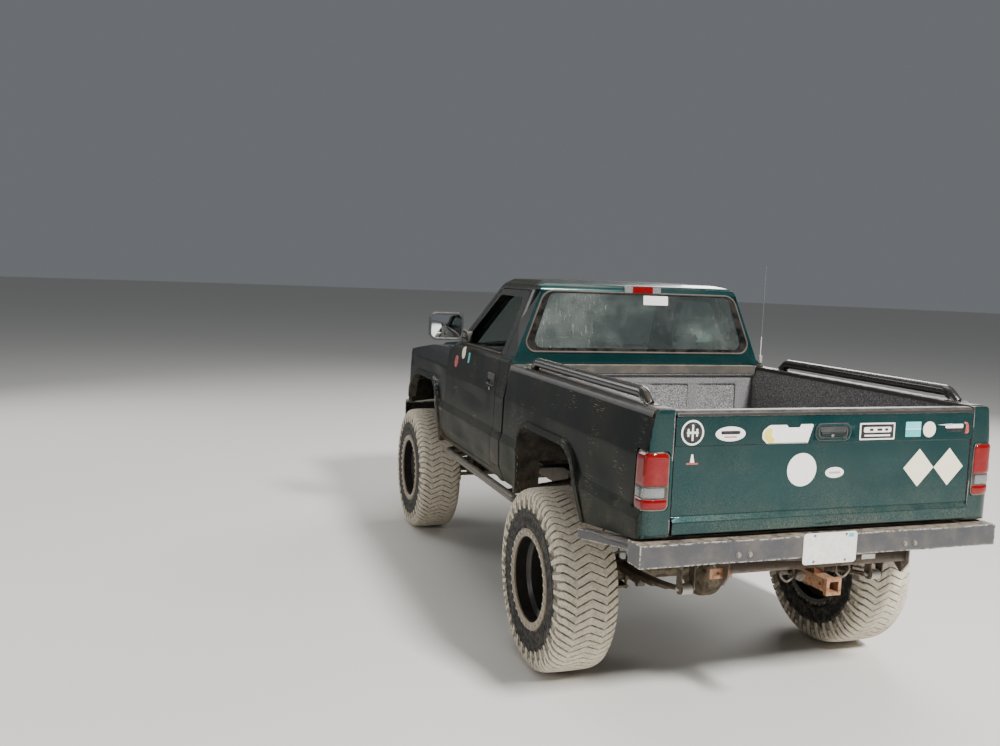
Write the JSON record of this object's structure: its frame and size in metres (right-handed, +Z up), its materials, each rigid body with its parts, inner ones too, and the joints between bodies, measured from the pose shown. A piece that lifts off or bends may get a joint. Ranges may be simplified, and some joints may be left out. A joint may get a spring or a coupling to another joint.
{
  "type": "lifted off-road 4x4",
  "caption": "Lifted off-road pickup with a regular cab, short load bed, solid axles and large knobbly tyres; doors, hood, tailgate, wheels and steering move.",
  "frame": {"origin": "on the ground at the middle of the vehicle's length and width", "axes": "+Z up, +X to the vehicle's left, -Y towards its nose; right-handed"},
  "size_m": [2.426, 5.15, 2.313],
  "materials": {
    "body_paint": "dark green metallic paint under dust, scratched and dented",
    "black_paint": "black chassis paint with dust",
    "cast_axle": "cast and forged steel, dusty",
    "rusted_steel": "bare steel with orange rust",
    "machined_steel": "dull steel",
    "black_plastic": "grained black plastic, dusty",
    "grey_plastic": "grained grey plastic",
    "seat_cloth": "grey woven cloth",
    "clear_glass": "tinted glass under dust",
    "red_lens": "red lens with a clear band",
    "clear_lens": "clear fluted lens",
    "plate_white": "blank white sheet",
    "wheel_black": "black steel wheel with a dusty bead ring",
    "tyre_rubber": "black rubber under pale dust"
  },
  "bodies": {
    "chassis": {"ladder_frame": "black_paint", "engine_and_gearbox": "cast_axle", "driveshafts": "cast_axle", "front_axle": "cast_axle", "rear_axle": "cast_axle", "coil_springs": "black_paint", "suspension_links": "black_paint", "leaf_springs": "black_paint", "shock_absorbers": "black_paint", "exhaust": "machined_steel", "fuel_tank": "black_paint", "steering_box": "cast_axle", "cab_floor": "body_paint", "cab_back_wall": "body_paint", "cab_roof": "body_paint", "firewall": "body_paint", "cab_glass": "clear_glass", "dashboard": "grey_plastic", "bench_seat": "seat_cloth", "front_fenders": "body_paint", "headlamps": "clear_lens", "grille": "black_plastic", "radiator": "black_paint", "front_bumper": "black_paint", "bed_sides": "body_paint", "bed_floor": "black_plastic", "bed_front_wall": "body_paint", "tail_lamps": "red_lens", "bed_rails": "black_paint", "rear_bumper": "black_paint", "hitch_receiver": "rusted_steel", "licence_plate": "plate_white", "rock_sliders": "black_paint", "whip_antenna": "black_plastic"},
    "hood": {"hood": "body_paint"},
    "door_left": {"door_left": "body_paint", "mirror_left": "black_plastic"},
    "door_right": {"door_right": "body_paint", "door_glass_right": "clear_glass", "mirror_right": "black_plastic"},
    "tailgate": {"tailgate": "body_paint"},
    "steering_wheel": {"steering_wheel": "black_plastic"},
    "knuckle_left": {"knuckle_left": "cast_axle"},
    "knuckle_right": {"knuckle_right": "cast_axle"},
    "tie_rod": {"tie_rod": "machined_steel"},
    "pitman_arm": {"pitman_arm": "machined_steel"},
    "drag_link": {"drag_link": "machined_steel"},
    "wheel_front_left": {"rim_front_left": "wheel_black", "tyre_front_left": "tyre_rubber"},
    "wheel_front_right": {"rim_front_right": "wheel_black", "tyre_front_right": "tyre_rubber"},
    "wheel_rear_left": {"rim_rear_left": "wheel_black", "tyre_rear_left": "tyre_rubber"},
    "wheel_rear_right": {"rim_rear_right": "wheel_black", "tyre_rear_right": "tyre_rubber"}
  },
  "joints": [
    {"name": "hood_hinge", "type": "hinge", "parent": "chassis", "child": "hood", "pos_m": [0, -1.024, 1.648], "axis": [-1, 0, 0], "range_deg": [0, 50]},
    {"name": "door_left_hinge", "type": "hinge", "parent": "chassis", "child": "door_left", "pos_m": [0.995, -0.958, 1.3], "axis": [0, 0, -1], "range_deg": [0, 68]},
    {"name": "door_right_hinge", "type": "hinge", "parent": "chassis", "child": "door_right", "pos_m": [-0.995, -0.958, 1.3], "axis": [0, 0, 1], "range_deg": [0, 68]},
    {"name": "tailgate_hinge", "type": "hinge", "parent": "chassis", "child": "tailgate", "pos_m": [0, 2.455, 1.075], "axis": [-1, 0, 0], "range_deg": [0, 90]},
    {"name": "steer_left", "type": "hinge", "parent": "chassis", "child": "knuckle_left", "pos_m": [0.735, -1.61, 0.508], "axis": [0, 0, 1], "range_deg": [-28, 28]},
    {"name": "steer_right", "type": "hinge", "parent": "chassis", "child": "knuckle_right", "pos_m": [-0.735, -1.61, 0.508], "axis": [0, 0, 1], "range_deg": [-28, 28]},
    {"name": "tie_rod_ball", "type": "hinge", "parent": "knuckle_left", "child": "tie_rod", "pos_m": [0.735, -1.78, 0.398], "axis": [0, 0, 1], "range_deg": [-28, 28]},
    {"name": "pitman_shaft", "type": "hinge", "parent": "chassis", "child": "pitman_arm", "pos_m": [0.546, -1.76, 0.795], "axis": [0, 0, 1], "range_deg": [-28, 28]},
    {"name": "drag_link_ball", "type": "hinge", "parent": "pitman_arm", "child": "drag_link", "pos_m": [0.546, -1.93, 0.756], "axis": [0, 0, 1], "range_deg": [-28, 28]},
    {"name": "steering_wheel_turn", "type": "hinge", "parent": "chassis", "child": "steering_wheel", "pos_m": [0.4, -0.49, 1.58], "axis": [0, 0.8829, 0.4695], "range_deg": [-448, 448]},
    {"name": "wheel_front_left_spin", "type": "hinge", "parent": "knuckle_left", "child": "wheel_front_left", "pos_m": [0.935, -1.61, 0.508], "axis": [1, 0, 0], "continuous": true},
    {"name": "wheel_front_right_spin", "type": "hinge", "parent": "knuckle_right", "child": "wheel_front_right", "pos_m": [-0.935, -1.61, 0.508], "axis": [1, 0, 0], "continuous": true},
    {"name": "wheel_rear_left_spin", "type": "hinge", "parent": "chassis", "child": "wheel_rear_left", "pos_m": [0.935, 1.405, 0.508], "axis": [1, 0, 0], "continuous": true},
    {"name": "wheel_rear_right_spin", "type": "hinge", "parent": "chassis", "child": "wheel_rear_right", "pos_m": [-0.935, 1.405, 0.508], "axis": [1, 0, 0], "continuous": true}
  ],
  "couplings": [
    {"joint": "steer_right", "follows": "steer_left", "ratio": 1},
    {"joint": "tie_rod_ball", "follows": "steer_left", "ratio": -1},
    {"joint": "pitman_shaft", "follows": "steer_left", "ratio": 1},
    {"joint": "drag_link_ball", "follows": "steer_left", "ratio": -1},
    {"joint": "steering_wheel_turn", "follows": "steer_left", "ratio": 16}
  ]
}
